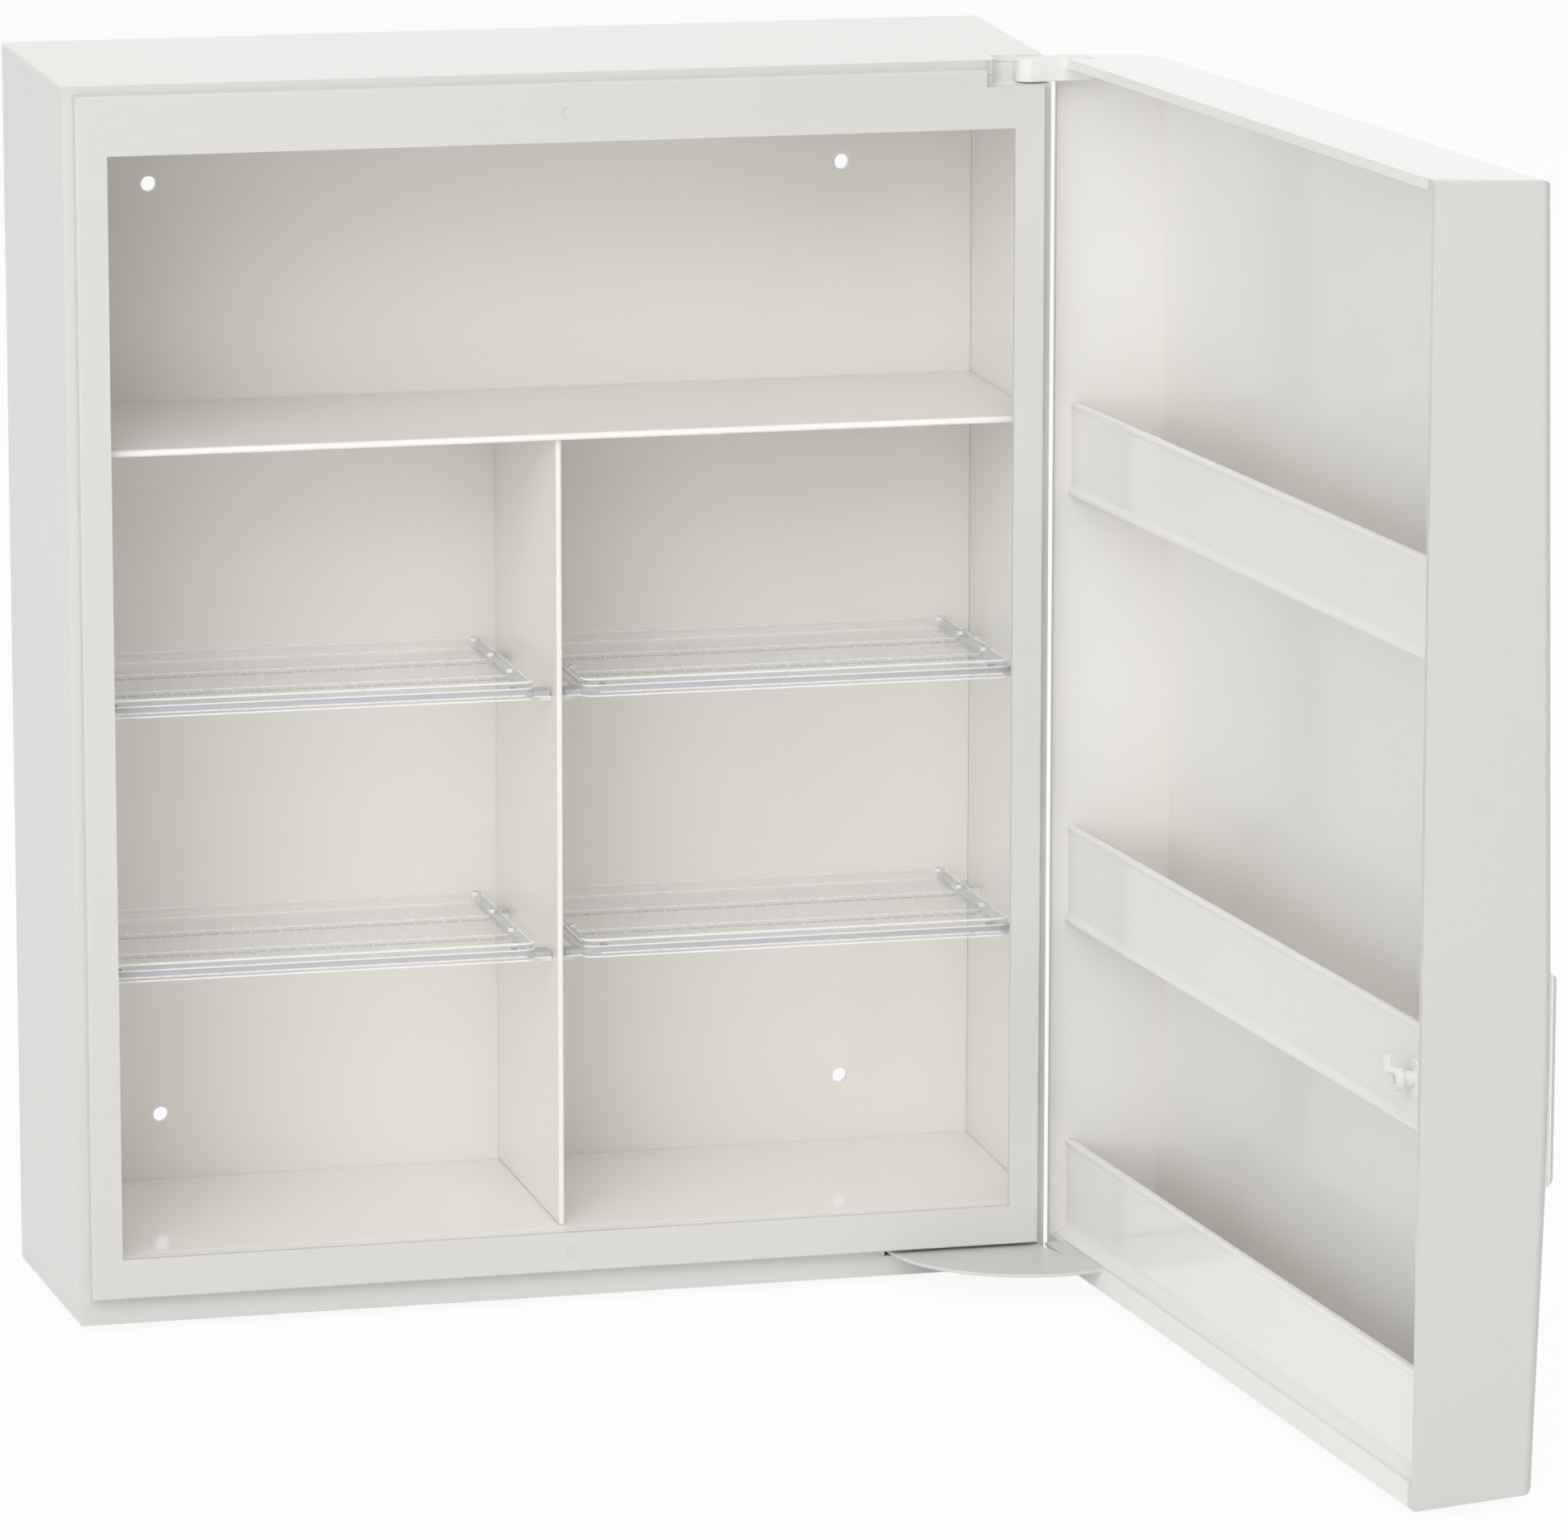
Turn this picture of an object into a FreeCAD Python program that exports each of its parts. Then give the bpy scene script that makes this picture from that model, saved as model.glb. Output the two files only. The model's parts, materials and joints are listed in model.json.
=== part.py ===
import FreeCAD, Part
import math
import os
from FreeCAD import Vector

# White wall cabinet with a deep swinging door. Millimetres, Z up, X to the right, Y into the wall.
# The origin is the centre of the four wall holes on the rear face.

# Housing
front_width = 353.6
front_height = 440.0
rear_flare = 2.8
body_depth = 109.6
wall = 2.5
corner_round = 1.2
seat_gap = 0.1

# Raised lip round the opening
lip_depth = 6.0
lip_face = 2.5
lip_side_inset = 3.7
lip_top_inset = 3.0
lip_bottom_inset = 10.4
lip_round = 0.8
opening_side_inset = 14.6
opening_top_inset = 23.8
opening_bottom_inset = 24.7
dimple_radius = 1.9
dimple_depth = 0.4

# Wall holes
hole_spacing_x = 256.0
hole_spacing_z = 342.0
hole_radius = 2.75

# Fixed shelf, floor and divider; heights are above the lower front edge
shelf_height = 312.2
panel_thickness = 2.5
divider_thickness = 2.1
divider_offset = -0.9
divider_front_gap = 3.0

# Clear shelves
tray_side_gap = 7.2
tray_ear_gap = 1.2
tray_front_setback = 7.6
tray_back = 6.0
tray_height = 6.5
tray_floor = 1.8
tray_rim = 2.0
tray_rib = 1.3
tray_rib_height = 3.4
tray_rib_count = 2
tray_ear_width = 10.0
tray_ear_thickness = 2.2
tray_rear_ear = 12.0
tray_heights = {"upper": 216.4, "lower": 121.7}
lug_overlap = 3.5
lug_width = 4.0
lug_thickness = 1.6
shelf_edge_round = 1.0

# Hinge axis and door swing
axis_from_side = 6.65
axis_behind_step = 5.66
door_open_angle = 94.1
pin_radius = 1.6
pin_clearance = 0.05

# Door
door_lip_gap = 0.6
door_top_gap = 0.4
door_bottom_gap = 1.0
door_panel = 3.0
door_depth_crease = 47.7
crown_top_fall = 6.1
crown_bottom_fall = 4.7
door_crease_height = 140.0
door_crease_radius = 1500.0
door_draft = 2.0
door_top_wall = 3.5
door_edge_round = 4.0
door_ledge_height = 8.3

# Door pockets
pocket_recess = 6.5
pocket_wall = 2.2
pocket_fillet = 5.0
pocket_heights = {"upper": (281.5, 315.0), "middle": (125.0, 160.5)}
lower_pocket_height = 44.2
pocket_floor_thickness = 2.0
bead_proud = 1.6
bead_shoulder = 1.3
bead_height = 3.2
rim_bead_proud = 0.6
rim_bead_height = 2.2
rim_bead_ease = 0.5

# Hinge tongue at the top and guide plate at the bottom
tongue_radius = 5.0
tongue_height = 8.2
tongue_reach = 10.0
tongue_side_gap = 8.0
tongue_end_gap = 0.6
tongue_floor_gap = 0.4
notch_lead = 5.5
plate_radius = 51.8
plate_thickness = 1.3
plate_hub_radius = 3.8
plate_stop_angle = 86.0
plate_stop_length = 4.0
plate_stop_depth = 2.3
plate_stop_height = 3.0
plate_stop_gap = 0.3
plate_stop_inset = 1.0
plate_root_start = 8.0
slot_gap = 0.7
slot_end_gap = 3.0
block_margin = 7.0

# Latch
latch_from_free_edge = 20.3
latch_height = 142.0
latch_tube_radius = 2.6
latch_bore_radius = 1.6
latch_clearance = 0.05
latch_cam_gap = 0.3
latch_cam_thickness = 2.2
latch_cam_reach = 9.2
latch_cam_width = 4.0
latch_ring_wall = 1.3
latch_ring_length = 2.2
latch_tube_reach = 1.4
collar_radius = 6.5
collar_height = 1.2
pad_width = 35.0
pad_length = 71.0
pad_proud = 1.2
pad_chamfer = 1.8
knob_radius = 10.0
knob_thickness = 2.0
knob_gap = 0.3
grip_length = 17.0
grip_width = 5.0
grip_height = 1.5

half_width = front_width / 2
half_height = front_height / 2
base = -half_height
step_y = -body_depth
lip_y = step_y - lip_depth
rim_y = lip_y - door_lip_gap
axis_x = half_width - axis_from_side
axis_y = step_y + axis_behind_step
door_bottom = base + door_bottom_gap
door_top = half_height - door_top_gap
floor_top = base + opening_bottom_inset
shelf_top = base + shelf_height
tray_levels = {tier: base + height for tier, height in tray_heights.items()}
tray_front = body_depth - tray_front_setback
tray_ear_length = tray_side_gap - tray_ear_gap
crease_z = base + door_crease_height
door_depth_top = door_depth_crease - crown_top_fall
door_depth_bottom = door_depth_crease - crown_bottom_fall
latch_z = base + latch_height
plate_top = door_bottom + door_ledge_height
plate_bottom = plate_top - plate_thickness
slot_top = plate_top + slot_gap
slot_bottom = plate_bottom - slot_gap
tongue_bottom = door_top - tongue_height
recess_floor = tongue_bottom - tongue_floor_gap
latch_x = -half_width + latch_from_free_edge
cam_y = lip_y + lip_face + latch_cam_gap
pad_top = door_depth_crease + pad_proud
far = 1000.0

parts = {}


def box(x_range, y_range, z_range):
    """Box from two limits along each axis."""
    low = [min(r) for r in (x_range, y_range, z_range)]
    high = [max(r) for r in (x_range, y_range, z_range)]
    size = [b - a for a, b in zip(low, high)]
    return Part.makeBox(size[0], size[1], size[2], Vector(*low))


def upright(x, y, z_range, radius):
    """Cylinder standing along Z."""
    low, high = min(z_range), max(z_range)
    return Part.makeCylinder(radius, high - low, Vector(x, y, low))


def level(x, z, y_range, radius):
    """Cylinder lying along Y."""
    low, high = min(y_range), max(y_range)
    return Part.makeCylinder(radius, high - low, Vector(x, low, z), Vector(0, 1, 0))


def rectangle(y, half_x, bottom, top):
    """Corners of an upright rectangle across Y."""
    corners = [(-half_x, bottom), (half_x, bottom), (half_x, top), (-half_x, top)]
    return [Vector(x, y, z) for x, z in corners]


def tapered(rear, front):
    """Solid with flat sides between a rear rectangle and a front one."""
    outlines = [rear[::-1], front]
    for i in range(4):
        j = (i + 1) % 4
        outlines.append([rear[i], rear[j], front[j], front[i]])
    faces = [Part.Face(Part.makePolygon(points + points[:1])) for points in outlines]
    return Part.Solid(Part.Shell(faces))


def body_section(y, inset):
    """Housing outline at depth y, moved in by inset."""
    flare = rear_flare * (1 + y / body_depth)
    half_x = half_width + flare - inset
    half_z = half_height + flare - inset
    return rectangle(y, half_x, -half_z, half_z)


def inside_edges(shape, keep):
    """Edges of a shape whose two ends both pass a test."""
    return [e for e in shape.Edges if all(keep(v.Point) for v in e.Vertexes)]


def extruded_x(points, x_range):
    """Solid from a (y, z) outline drawn along X."""
    low, high = min(x_range), max(x_range)
    outline = [Vector(low, y, z) for y, z in points]
    face = Part.Face(Part.makePolygon(outline + outline[:1]))
    return face.extrude(Vector(high - low, 0, 0))


# Housing: four flared walls, front flange and hollow lip in one moulding
body_outer = tapered(body_section(0, 0), body_section(step_y, 0))
depth_edges = [e for e in body_outer.Edges if abs(e.Vertexes[0].Y - e.Vertexes[1].Y) > 1]
body_outer = body_outer.makeFillet(corner_round, depth_edges)
cavity = tapered(body_section(1, wall), body_section(step_y + wall, wall))
cavity_seat = tapered(body_section(0, wall + seat_gap), body_section(step_y + wall + seat_gap, wall + seat_gap))

lip_half = half_width - lip_side_inset
lip_bottom = base + lip_bottom_inset
lip_top = half_height - lip_top_inset
lip_block = box((-lip_half, lip_half), (lip_y, step_y + wall), (lip_bottom, lip_top))
lip_front_edges = inside_edges(lip_block, lambda p: abs(p.y - lip_y) < 1e-6)
lip_block = lip_block.makeFillet(lip_round, lip_front_edges)


def lip_hollow(inset):
    """Space behind the face of the lip."""
    side = lip_half - wall - inset
    z_range = (lip_bottom + wall + inset, lip_top - wall - inset)
    return box((-side, side), (lip_y + lip_face + inset, step_y + wall + 1), z_range)


opening_half = half_width - opening_side_inset
opening_top = half_height - opening_top_inset
opening = box((-opening_half, opening_half), (lip_y - 1, step_y + wall + 1), (floor_top, opening_top))

# Recess in the top right corner for the hinge tongue
recess_left = axis_x - tongue_radius - tongue_side_gap
recess_back = axis_y + tongue_radius + tongue_end_gap
recess_z = (recess_floor, half_height + rear_flare)
recess = box((recess_left, half_width + rear_flare), (recess_back, lip_y - 1), recess_z)
notch_left = recess_left - notch_lead
recess = recess.fuse(box((notch_left, half_width), (step_y, lip_y - 1), recess_z))
lead = box((notch_left, recess_left), (step_y, step_y + notch_lead), recess_z)
recess = recess.fuse(lead.cut(upright(notch_left, step_y + notch_lead, recess_z, notch_lead)))

# Slot under the lip for the guide plate
slot_left = axis_x - plate_radius - slot_end_gap
slot = box((slot_left, half_width - wall), (step_y - 1, step_y + wall + 1), (slot_bottom, slot_top))

housing = body_outer.fuse(lip_block)
for space in (cavity, lip_hollow(0), opening, recess, slot):
    housing = housing.cut(space)
for z in ((lip_top + opening_top) / 2, (lip_bottom + floor_top) / 2):
    housing = housing.cut(level(0, z, (lip_y, lip_y + dimple_depth), dimple_radius))
parts["housing"] = housing.removeSplitter()

# Rear panel with the four wall holes
back_panel = tapered(body_section(0, wall + seat_gap), body_section(-panel_thickness, wall + seat_gap))
for x in (-hole_spacing_x / 2, hole_spacing_x / 2):
    for z in (-hole_spacing_z / 2, hole_spacing_z / 2):
        back_panel = back_panel.cut(level(x, z, (-panel_thickness - 1, 1), hole_radius))
parts["back_panel"] = back_panel

# Floor over the hollow base, fixed shelf and centre divider
panel_y = (-panel_thickness - seat_gap, step_y + wall + seat_gap)
floor_slab = box((-far, far), panel_y, (floor_top - panel_thickness, floor_top))
parts["floor_panel"] = cavity_seat.common(floor_slab)
shelf_slab = box((-far, far), panel_y, (shelf_top - panel_thickness, shelf_top))
fixed_shelf = cavity_seat.common(shelf_slab)
shelf_front_edges = inside_edges(fixed_shelf, lambda p: abs(p.y - panel_y[1]) < 1e-6)
shelf_front_edges = [e for e in shelf_front_edges if abs(e.Vertexes[0].X - e.Vertexes[1].X) > panel_thickness]
parts["fixed_shelf"] = fixed_shelf.makeFillet(shelf_edge_round, shelf_front_edges)
divider_x = (divider_offset - divider_thickness / 2, divider_offset + divider_thickness / 2)
divider_z = (floor_top + seat_gap, shelf_top - panel_thickness - seat_gap)
divider_y = (panel_y[0], panel_y[1] + divider_front_gap)
parts["centre_divider"] = box(divider_x, divider_y, divider_z)


tray_ear_rears = {"rear": -tray_back - tray_rear_ear, "front": -tray_front + tray_ear_width}
tray_pitch = (tray_front - tray_back) / (tray_rib_count + 1)
narrow_bay = half_width - wall - divider_thickness / 2 - abs(divider_offset)
tray_width = narrow_bay - 2 * tray_side_gap


def clear_tray(centre_x, base_z):
    """Clear shelf: floor, front bar, side and rear rims, cross ribs and four corner ears."""
    left, right = centre_x - tray_width / 2, centre_x + tray_width / 2
    y_range = (-tray_back, -tray_front)
    top_z = base_z + tray_height
    rib_z = (base_z, base_z + tray_floor + tray_rib_height)
    tray = box((left, right), y_range, (base_z, base_z + tray_floor))
    tray = tray.fuse(box((left, right), (-tray_front, -tray_front + tray_rim), (base_z, top_z)))
    tray = tray.fuse(box((left, right), (-tray_back - tray_rim, -tray_back), rib_z))
    for x_range in ((left, left + tray_rim), (right - tray_rim, right)):
        tray = tray.fuse(box(x_range, y_range, (base_z, top_z - tray_rib)))
    for i in range(tray_rib_count):
        rib_y = -tray_back - tray_pitch * (i + 1)
        tray = tray.fuse(box((left, right), (rib_y - tray_rib, rib_y), rib_z))
    for ear_rear in tray_ear_rears.values():
        ear_x = (left - tray_ear_length, right + tray_ear_length)
        ear_y = (ear_rear, ear_rear - tray_ear_width)
        tray = tray.fuse(box(ear_x, ear_y, (base_z, base_z + tray_ear_thickness)))
    return tray.removeSplitter()


def carrying_lug(x_range, ear_rear, base_z):
    """Small block under the rear part of one ear of a clear shelf."""
    lug = box(x_range, (ear_rear, ear_rear - lug_width), (base_z - lug_thickness, base_z))
    return lug.common(cavity_seat)


def wall_middle(side):
    """Middle of a bay between the divider face and the housing wall."""
    wall_x = side * (half_width - wall)
    face_x = divider_x[1] if side > 0 else divider_x[0]
    return (wall_x + face_x) / 2, face_x


for bay, side in (("left", -1), ("right", 1)):
    centre_x, divider_face = wall_middle(side)
    tray_inner = centre_x - side * tray_width / 2
    tray_outer = centre_x + side * tray_width / 2
    inner_x = (divider_face + side * seat_gap, tray_inner - side * (tray_ear_length - lug_overlap))
    outer_x = (tray_outer + side * (tray_ear_length - lug_overlap), side * far)
    for tier, base_z in tray_levels.items():
        parts[f"clear_shelf_{tier}_{bay}"] = clear_tray(centre_x, base_z)
        for place, ear_rear in tray_ear_rears.items():
            parts[f"divider_lug_{tier}_{bay}_{place}"] = carrying_lug(inner_x, ear_rear, base_z)
            parts[f"wall_lug_{tier}_{bay}_{place}"] = carrying_lug(outer_x, ear_rear, base_z)

# Hinge blocks and pins
inside = cavity_seat.fuse(lip_hollow(seat_gap))
block_z = (recess_floor - block_margin, half_height)
block_y = (recess_back + block_margin, lip_y)
top_block = box((notch_left - block_margin, half_width), block_y, block_z).common(inside).cut(recess)
pin_top_z = (recess_floor - block_margin, door_top - wall)
top_block = top_block.cut(upright(axis_x, axis_y, block_z, pin_radius))
parts["top_hinge_block"] = top_block
parts["top_hinge_pin"] = upright(axis_x, axis_y, pin_top_z, pin_radius)

base_z = (base, plate_bottom - slot_gap / 2)
base_block = box((axis_x - block_margin, half_width), (axis_y + block_margin, step_y), base_z).common(cavity_seat)
pin_bottom_z = (base + wall + seat_gap, plate_top + slot_gap)
base_block = base_block.cut(upright(axis_x, axis_y, base_z, pin_radius))
parts["bottom_hinge_block"] = base_block
parts["bottom_hinge_pin"] = upright(axis_x, axis_y, pin_bottom_z, pin_radius)


# Door, drawn closed in front of the lip and swung open at the end
def face_line(inset):
    """Outline of the door's section in (y, z), crowned at the crease."""
    top = (rim_y - door_depth_top + inset, door_top)
    crease = (rim_y - door_depth_crease + inset, crease_z)
    bottom = (rim_y - door_depth_bottom + inset, door_bottom)
    rise = math.atan2(top[0] - crease[0], top[1] - crease[1])
    fall = math.atan2(bottom[0] - crease[0], crease[1] - bottom[1])
    turn = (rise + fall) / 2
    reach = door_crease_radius * math.tan(turn)
    sag = door_crease_radius * (1 / math.cos(turn) - 1)
    upper = (crease[0] + reach * math.sin(rise), crease[1] + reach * math.cos(rise))
    lower = (crease[0] + reach * math.sin(fall), crease[1] - reach * math.cos(fall))
    return top, upper, (crease[0] + sag, crease[1]), lower, bottom


def crowned(inset, x_range):
    """Solid from the rim plane to the crowned face."""
    low, high = min(x_range), max(x_range)
    top, upper, middle, lower, bottom = [Vector(low, y, z) for y, z in face_line(inset)]
    rim_top = Vector(low, rim_y, door_top)
    rim_bottom = Vector(low, rim_y, door_bottom)
    edges = [Part.makeLine(rim_top, top), Part.makeLine(top, upper)]
    edges.append(Part.Arc(upper, middle, lower).toShape())
    edges += [Part.makeLine(lower, bottom), Part.makeLine(bottom, rim_bottom), Part.makeLine(rim_bottom, rim_top)]
    return Part.Face(Part.Wire(edges)).extrude(Vector(high - low, 0, 0))


def door_taper(side, below, above, start):
    """Space inside the drafted door walls, set in by the given wall thicknesses."""
    reach = door_depth_crease + door_panel
    drift = door_draft * reach / door_depth_crease
    near = door_draft * start / door_depth_crease
    first = rectangle(rim_y + start, half_width - side + near, door_bottom + below - near, door_top - above + near)
    second = rectangle(rim_y - reach, half_width - side - drift, door_bottom + below + drift, door_top - above - drift)
    return tapered(first, second)


door_x = (-far, far)
door_outer = crowned(0, door_x).common(door_taper(0, 0, 0, 0))
face_limit = rim_y - door_depth_top / 2
front_edges = [e for e in door_outer.Edges if all(v.Y < face_limit for v in e.Vertexes)]
edge_zone = door_edge_round + door_draft


def on_ridge(edge):
    """True for the two level lines where the crown turns at the crease."""
    first, second = edge.Vertexes
    level_line = abs(first.X - second.X) > 1
    return level_line and door_bottom + edge_zone < first.Z < door_top - edge_zone


door_outer = door_outer.makeFillet(door_edge_round, [e for e in front_edges if not on_ridge(e)])


def door_space(gap):
    """Hollow of the door, set in by a gap."""
    hollow = door_taper(wall + gap, wall + gap, door_top_wall + gap, 1.0)
    floor = crowned(door_panel + gap, door_x)
    rim_fill = box(door_x, (rim_y + 1, rim_y), (door_bottom, door_top))
    return hollow.common(floor.fuse(rim_fill))


ledge_y = (rim_y, rim_y - pocket_recess - pocket_wall)
door_shell = door_outer.cut(door_space(0))
ledge = box(door_x, ledge_y, (door_bottom, plate_top)).common(door_outer)
door_shell = door_shell.fuse(ledge)
door_room = door_space(seat_gap)


def depth_y(depth):
    """Y of a plane a given depth behind the door rim."""
    return rim_y - depth


def rim_bead(front, back, high):
    """Narrow bead along the top edge of a pocket strip, as (y, z) points."""
    bead = front + rim_bead_proud
    points = [(front, high - rim_bead_height), (bead, high - rim_bead_height + rim_bead_proud)]
    points += [(bead, high - rim_bead_ease), (bead - rim_bead_ease, high)]
    return points + [(back + rim_bead_ease, high), (back, high - rim_bead_ease)]


def pocket_front(low, high):
    """Front strip of a door pocket with a rolled lower bead and a narrow top bead."""
    back = depth_y(pocket_recess + pocket_wall)
    front = depth_y(pocket_recess)
    points = [(back, low), (front + bead_shoulder, low), (front + bead_proud, low + bead_height / 4)]
    points += [(front + bead_shoulder, low + bead_height * 0.6), (front, low + bead_height)]
    return extruded_x(points + rim_bead(front, back, high), door_x).common(door_room)


def lower_front(low, high):
    """Front strip of the lowest pocket, swept into the ledge by a concave fillet."""
    back = depth_y(pocket_recess + pocket_wall)
    front = depth_y(pocket_recess)
    centre = (front + pocket_fillet, low + pocket_fillet)
    sweep = []
    for step in range(9):
        turn = math.radians(270 - step * 90 / 8)
        sweep.append((centre[0] + pocket_fillet * math.cos(turn), centre[1] + pocket_fillet * math.sin(turn)))
    points = [(back, low)] + sweep + rim_bead(front, back, high)
    return extruded_x(points, door_x).common(door_room)


tube_hole = level(latch_x, latch_z, (rim_y - far, rim_y + 1), latch_tube_radius + latch_clearance)
for name, heights in pocket_heights.items():
    low, high = (base + height for height in heights)
    strip = pocket_front(low, high)
    floor_y = (depth_y(pocket_recess + pocket_wall + seat_gap), rim_y - far)
    floor = box(door_x, floor_y, (low, low + pocket_floor_thickness)).common(door_room)
    if low < latch_z < high:
        strip = strip.cut(tube_hole)
    parts[f"pocket_front_{name}"] = strip
    parts[f"pocket_floor_{name}"] = floor
parts["pocket_front_lower"] = lower_front(plate_top + seat_gap, base + lower_pocket_height)

# Hinge tongue moulded into the top corner of the door
tongue_z = (tongue_bottom, door_top)
tongue_y = (axis_y, depth_y(tongue_reach))
tongue = box((axis_x - tongue_radius, axis_x + tongue_radius), tongue_y, tongue_z)
tongue = tongue.fuse(upright(axis_x, axis_y, tongue_z, tongue_radius)).removeSplitter()
door_shell = door_shell.cut(tongue)
tongue_hole = upright(axis_x, axis_y, (tongue_bottom, door_top - wall), pin_radius + pin_clearance)
parts["hinge_tongue"] = tongue.cut(tongue_hole)

# Guide plate: a sector round the hinge axis with a stop at its inner end
plate_z = (plate_bottom, plate_top)
rim_reach = axis_y - rim_y
end_angle = 180 + math.degrees(math.asin(rim_reach / plate_radius))
sweep = end_angle - plate_stop_angle
sector = Part.makeCylinder(plate_radius, plate_thickness, Vector(0, 0, 0), Vector(0, 0, 1), sweep)
sector.rotate(Vector(0, 0, 0), Vector(0, 0, 1), plate_stop_angle)
sector.translate(Vector(axis_x, axis_y, plate_bottom))
root_end = math.sqrt(plate_radius ** 2 - rim_reach ** 2)
root_y = (axis_y - rim_reach / 2, depth_y(pocket_recess / 2))
root = box((axis_x - plate_root_start, axis_x - root_end), root_y, plate_z)
plate = sector.fuse(root).fuse(upright(axis_x, axis_y, plate_z, plate_hub_radius)).removeSplitter()
door_shell = door_shell.cut(plate)
plate = plate.cut(upright(axis_x, axis_y, plate_z, pin_radius + pin_clearance))
stop_left = axis_x - plate_radius + plate_stop_inset
stop_front = step_y + wall + plate_stop_gap
stop_x = (stop_left, stop_left + plate_stop_length)
stop_y = (stop_front, stop_front + plate_stop_depth)
stop = box(stop_x, stop_y, (plate_bottom, plate_top + plate_stop_height))
stop.rotate(Vector(axis_x, axis_y, 0), Vector(0, 0, 1), -door_open_angle)
parts["guide_plate"] = plate.fuse(stop).removeSplitter()

# Handle pad on the outer face
pad_x = (latch_x - pad_width / 2, latch_x + pad_width / 2)
pad_z = (latch_z - pad_length / 2, latch_z + pad_length / 2)
pad = box(pad_x, (depth_y(pad_top), depth_y(door_depth_top)), pad_z)
pad_edges = inside_edges(pad, lambda p: abs(p.y - depth_y(pad_top)) < 1e-6)
pad = pad.makeChamfer(pad_chamfer, pad_edges)
parts["handle_pad"] = pad.cut(door_outer).cut(tube_hole)
parts["door_shell"] = door_shell.cut(tube_hole).removeSplitter()

# Collar on the middle pocket front round the latch tube
collar_y = (depth_y(pocket_recess), depth_y(pocket_recess - collar_height))
parts["latch_collar"] = level(latch_x, latch_z, collar_y, collar_radius).cut(tube_hole)

# Latch: knob outside, hollow tube through the door, cam inside
knob_y = (depth_y(pad_top + knob_gap), depth_y(pad_top + knob_gap + knob_thickness))
knob = level(latch_x, latch_z, knob_y, knob_radius)
grip_y = (knob_y[1], knob_y[1] - grip_height)
grip_x = (latch_x - grip_width / 2, latch_x + grip_width / 2)
grip_z = (latch_z - grip_length / 2, latch_z + grip_length / 2)
knob = knob.fuse(box(grip_x, grip_y, grip_z)).removeSplitter()
parts["latch_knob"] = knob
tube_end = rim_y + latch_tube_reach
tube = level(latch_x, latch_z, (tube_end, knob_y[0]), latch_tube_radius)
bore = level(latch_x, latch_z, (tube_end, depth_y(pocket_recess)), latch_bore_radius)
parts["latch_tube"] = tube.cut(bore)
ring_y = tube_end - latch_ring_length
ring_radius = latch_tube_radius + latch_ring_wall
hook_y = cam_y + latch_cam_thickness
hook_low = latch_z + ring_radius + latch_ring_wall
finger_points = [
    (ring_y, latch_z + latch_tube_radius), (ring_y, latch_z + ring_radius),
    (cam_y, hook_low), (cam_y, latch_z + latch_cam_reach), (hook_y, latch_z + latch_cam_reach),
    (hook_y, latch_z + ring_radius), (tube_end, latch_z + latch_tube_radius),
]
cam_x = (latch_x - latch_cam_width / 2, latch_x + latch_cam_width / 2)
cam = level(latch_x, latch_z, (ring_y, tube_end), ring_radius)
cam = cam.fuse(extruded_x(finger_points, cam_x))
parts["latch_cam"] = cam.cut(level(latch_x, latch_z, (ring_y, hook_y), latch_tube_radius)).removeSplitter()

# Swing the door and everything it carries open
swung = ("door_", "pocket_", "hinge_tongue", "guide_", "handle_", "latch_")
for name, shape in parts.items():
    if name.startswith(swung):
        shape.rotate(Vector(axis_x, axis_y, 0), Vector(0, 0, 1), door_open_angle)

os.makedirs("parts", exist_ok=True)
for name, shape in parts.items():
    shape.exportStep(f"parts/{name}.step")
    print(name, len(shape.Solids), round(shape.Volume, 1), shape.isValid())
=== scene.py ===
import bpy, bmesh, itertools, json, math
from mathutils import Matrix, Vector
from types import SimpleNamespace


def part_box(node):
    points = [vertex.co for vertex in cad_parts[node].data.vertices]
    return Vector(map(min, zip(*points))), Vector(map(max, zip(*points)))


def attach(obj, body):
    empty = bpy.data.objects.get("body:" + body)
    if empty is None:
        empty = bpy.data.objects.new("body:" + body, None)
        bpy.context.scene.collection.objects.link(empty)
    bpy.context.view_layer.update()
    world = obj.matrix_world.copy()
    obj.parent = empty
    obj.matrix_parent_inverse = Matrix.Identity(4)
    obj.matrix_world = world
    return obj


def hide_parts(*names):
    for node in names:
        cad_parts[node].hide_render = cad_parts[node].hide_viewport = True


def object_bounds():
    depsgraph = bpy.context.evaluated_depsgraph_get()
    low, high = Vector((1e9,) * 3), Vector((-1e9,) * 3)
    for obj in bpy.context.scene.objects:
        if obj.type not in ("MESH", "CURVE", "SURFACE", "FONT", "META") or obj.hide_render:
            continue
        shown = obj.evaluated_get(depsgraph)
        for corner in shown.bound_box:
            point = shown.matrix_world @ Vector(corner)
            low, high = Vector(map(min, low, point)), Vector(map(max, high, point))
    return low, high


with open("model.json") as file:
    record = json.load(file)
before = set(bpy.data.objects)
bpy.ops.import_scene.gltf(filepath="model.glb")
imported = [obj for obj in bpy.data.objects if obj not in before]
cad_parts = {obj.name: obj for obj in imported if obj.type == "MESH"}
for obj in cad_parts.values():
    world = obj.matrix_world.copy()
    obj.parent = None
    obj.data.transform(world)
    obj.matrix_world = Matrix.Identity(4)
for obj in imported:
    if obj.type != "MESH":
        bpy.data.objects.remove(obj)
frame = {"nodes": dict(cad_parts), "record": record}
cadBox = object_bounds()
scene = bpy.context.scene
nodes = frame["nodes"]
mm = 0.001
pureWhite, pureBlack = (1, 1, 1, 1), (0, 0, 0, 1)


# small helpers for node trees
def addNode(tree, kind, **values):
    node = tree.nodes.new(kind)
    for name, value in values.items():
        if hasattr(node, name):
            setattr(node, name, value)
        else:
            node.inputs[name].default_value = value
    return node


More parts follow.
